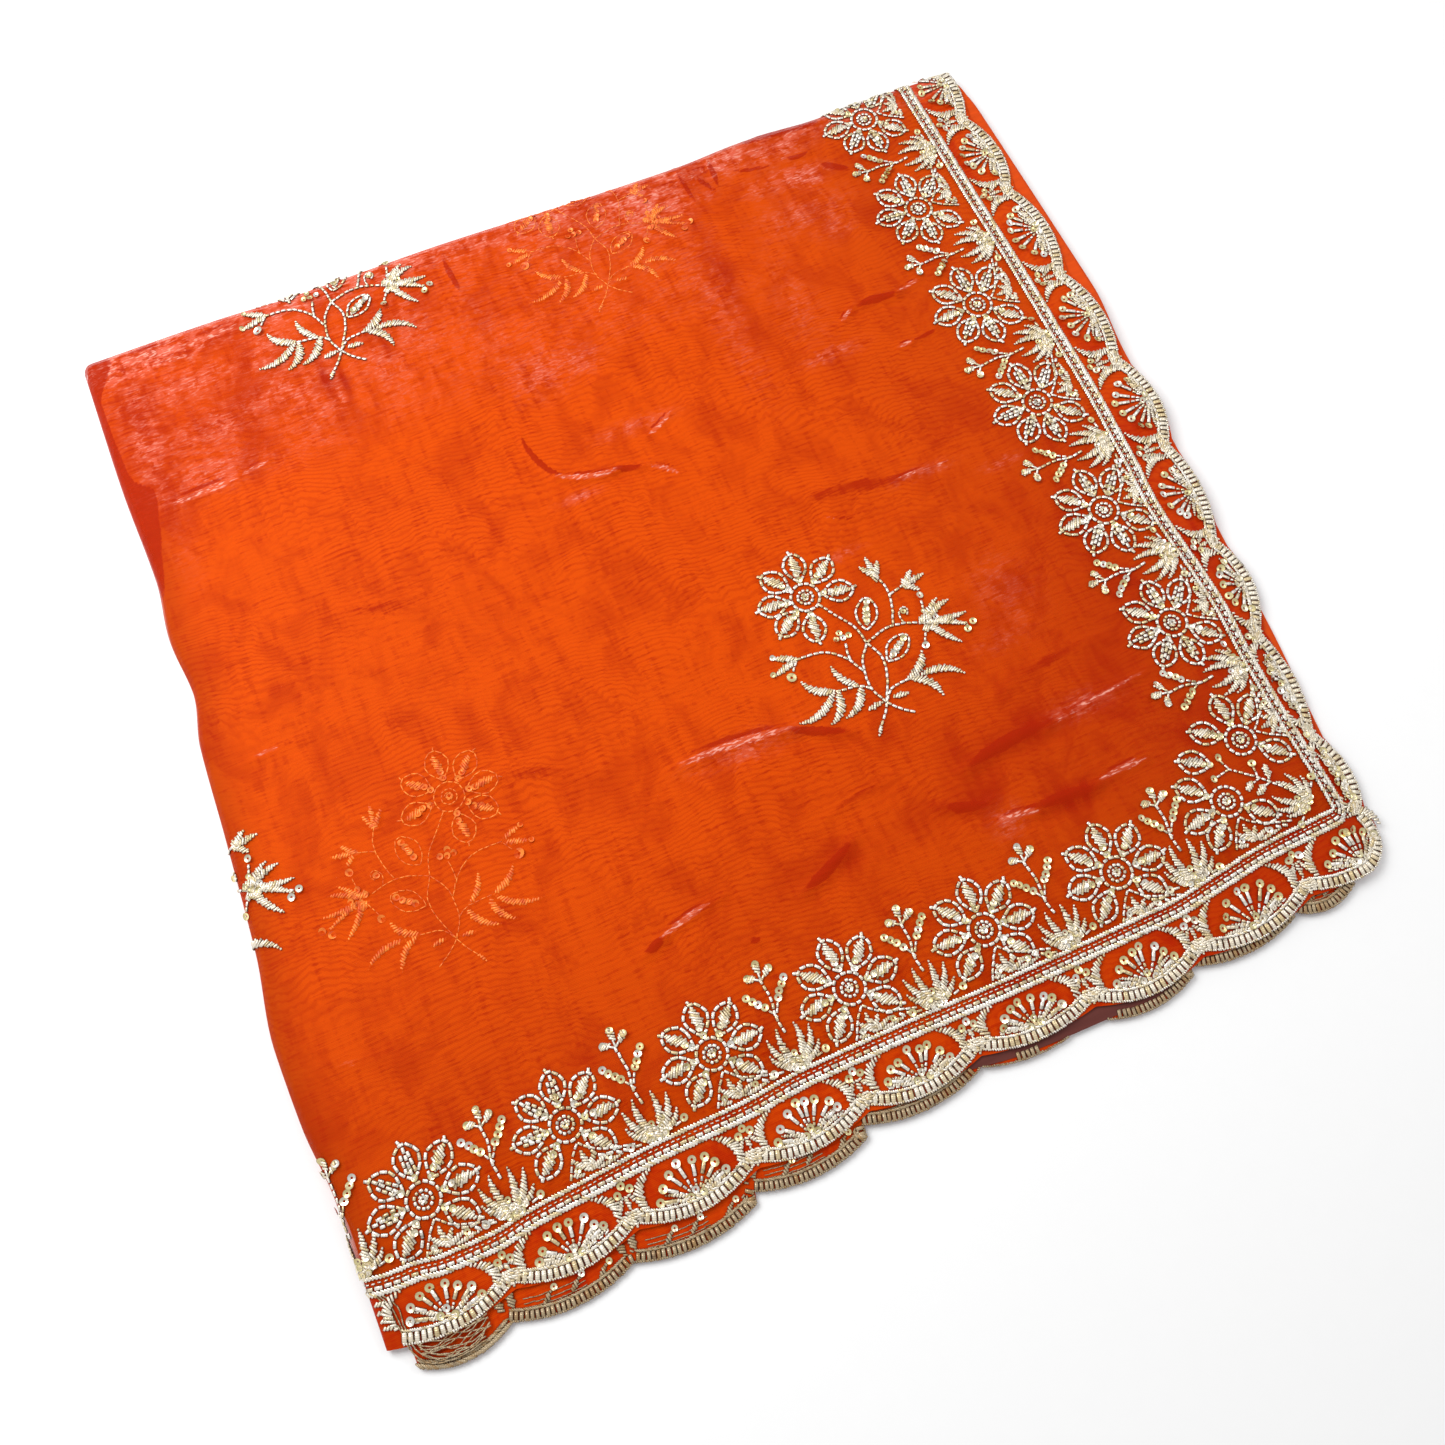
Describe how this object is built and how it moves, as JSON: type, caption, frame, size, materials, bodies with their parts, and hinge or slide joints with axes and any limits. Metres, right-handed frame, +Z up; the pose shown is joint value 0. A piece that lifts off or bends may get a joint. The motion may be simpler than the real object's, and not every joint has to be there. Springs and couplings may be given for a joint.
{
  "type": "sari",
  "caption": "Folded organza sari lying flat, with scalloped embroidered edgings along its long side and its end.",
  "frame": {"origin": "on the surface that the folded sari lies on, under the middle of its box", "axes": "+X along the long scalloped edging towards the end edging, +Y away from the long edging towards the far fold, +Z up through the layers"},
  "size_m": [0.6055, 0.6075, 0.0137],
  "materials": {
    "organza": "sheer orange organza with a soft pink-gold sheen, fine weave and moire",
    "organza_layers": "many layers of the same organza seen at their folded edges",
    "zari_edging": "orange organza edging covered with pale gold metallic thread, cords and sequins",
    "zari_thread": "silver-gold metallic thread, twisted cords and bugle beads of the embroidery",
    "sequins": "pale gold cup sequins, bright where they face the light"
  },
  "bodies": {
    "root": {"folded_stack": "organza_layers", "lower_edging": "zari_edging", "top_cloth": "organza", "long_edging": "zari_edging", "end_edging": "zari_edging"}
  },
  "joints": []
}
